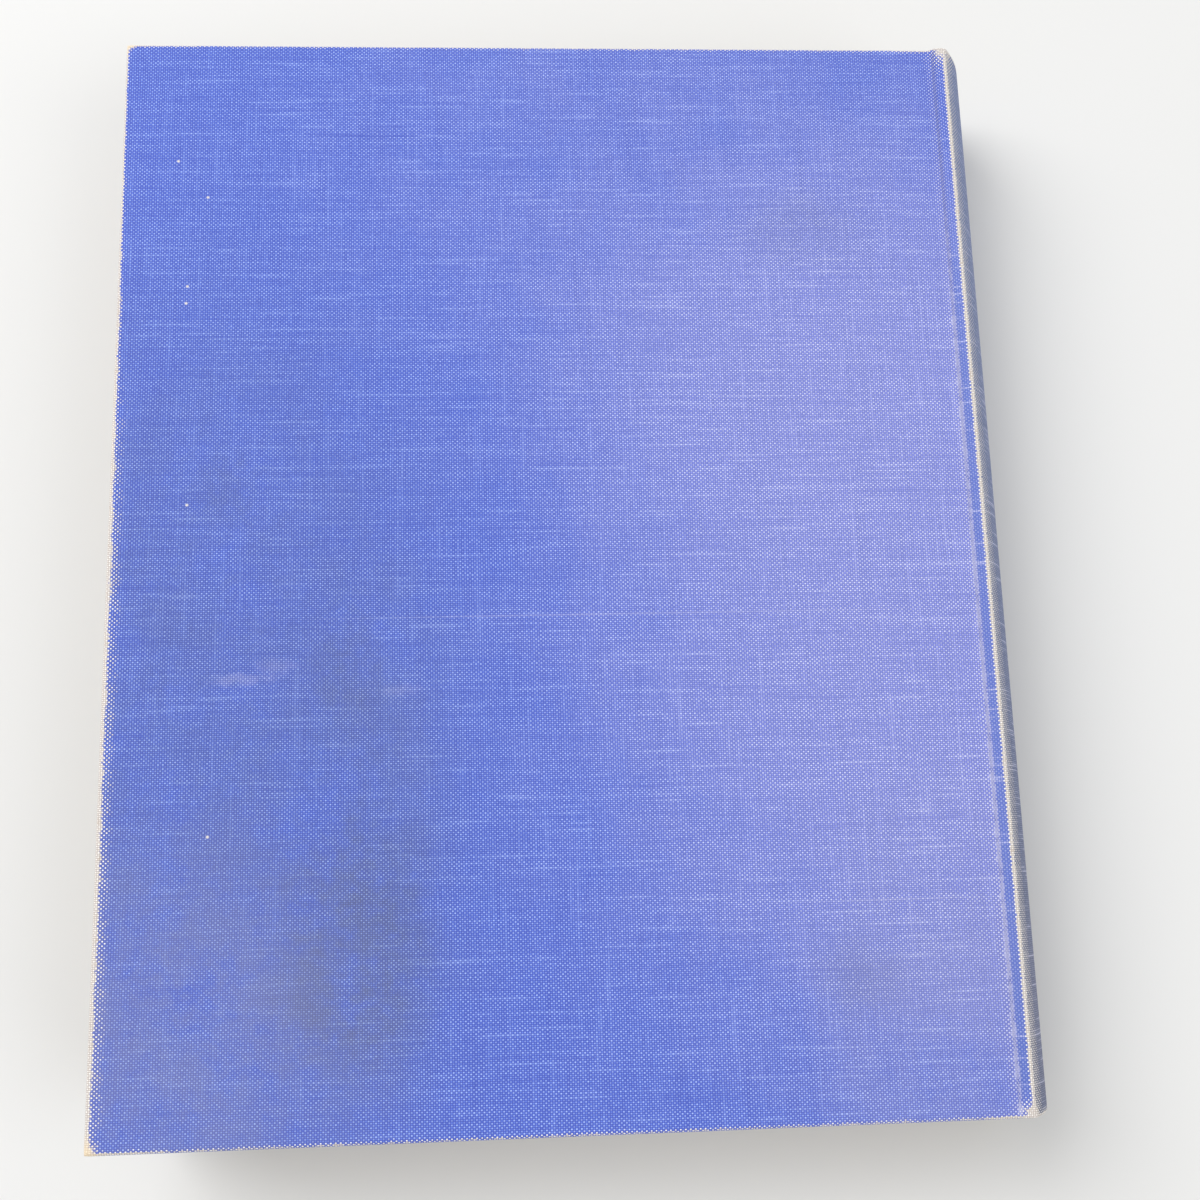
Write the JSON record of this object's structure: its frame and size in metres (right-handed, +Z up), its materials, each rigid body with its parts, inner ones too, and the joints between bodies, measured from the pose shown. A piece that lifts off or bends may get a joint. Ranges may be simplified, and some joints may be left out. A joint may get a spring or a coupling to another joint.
{
  "type": "hardback book",
  "caption": "Closed cloth-covered hardback book with boards, rounded spine, pages, endpapers and two opening covers.",
  "frame": {"origin": "centre of the closed book's outline on the plane it lies on, which is the outer face of the front cover", "axes": "+Z up through the pages to the rear cover, +X from the fore-edge to the spine, +Y from the tail to the head"},
  "size_m": [0.2126, 0.2606, 0.036],
  "materials": {
    "cover_cloth": "blue plain-weave book cloth, matt, worn at the edges",
    "spine_cloth": "the same cloth, rubbed along the ridges",
    "page_paper": "trimmed page edges, toned cream",
    "end_paper": "plain uncoated off-white",
    "mull_cloth": "open starched cotton",
    "band_cotton": "undyed woven cotton",
    "lining_paper": "brown kraft paper",
    "inlay_card": "plain manila card",
    "grey_board": "pressed binder's board"
  },
  "bodies": {
    "book_block": {"text_block": "page_paper", "front_flyleaf": "end_paper", "rear_flyleaf": "end_paper", "spine_mull": "mull_cloth", "head_band": "band_cotton", "tail_band": "band_cotton", "spine_lining": "lining_paper", "spine_inlay": "inlay_card", "spine_cloth": "spine_cloth"},
    "front_cover": {"front_board": "grey_board", "front_cover_cloth": "cover_cloth", "front_mull_flange": "mull_cloth", "front_pastedown": "end_paper"},
    "rear_cover": {"rear_board": "grey_board", "rear_cover_cloth": "cover_cloth", "rear_mull_flange": "mull_cloth", "rear_pastedown": "end_paper"}
  },
  "joints": [
    {"name": "front_cover_hinge", "type": "hinge", "parent": "book_block", "child": "front_cover", "pos_m": [0.09681, 0, 0], "axis": [0, -1, 0], "range_deg": [0, 180]},
    {"name": "rear_cover_hinge", "type": "hinge", "parent": "book_block", "child": "rear_cover", "pos_m": [0.09681, 0, 0.036], "axis": [0, 1, 0], "range_deg": [0, 180]}
  ]
}
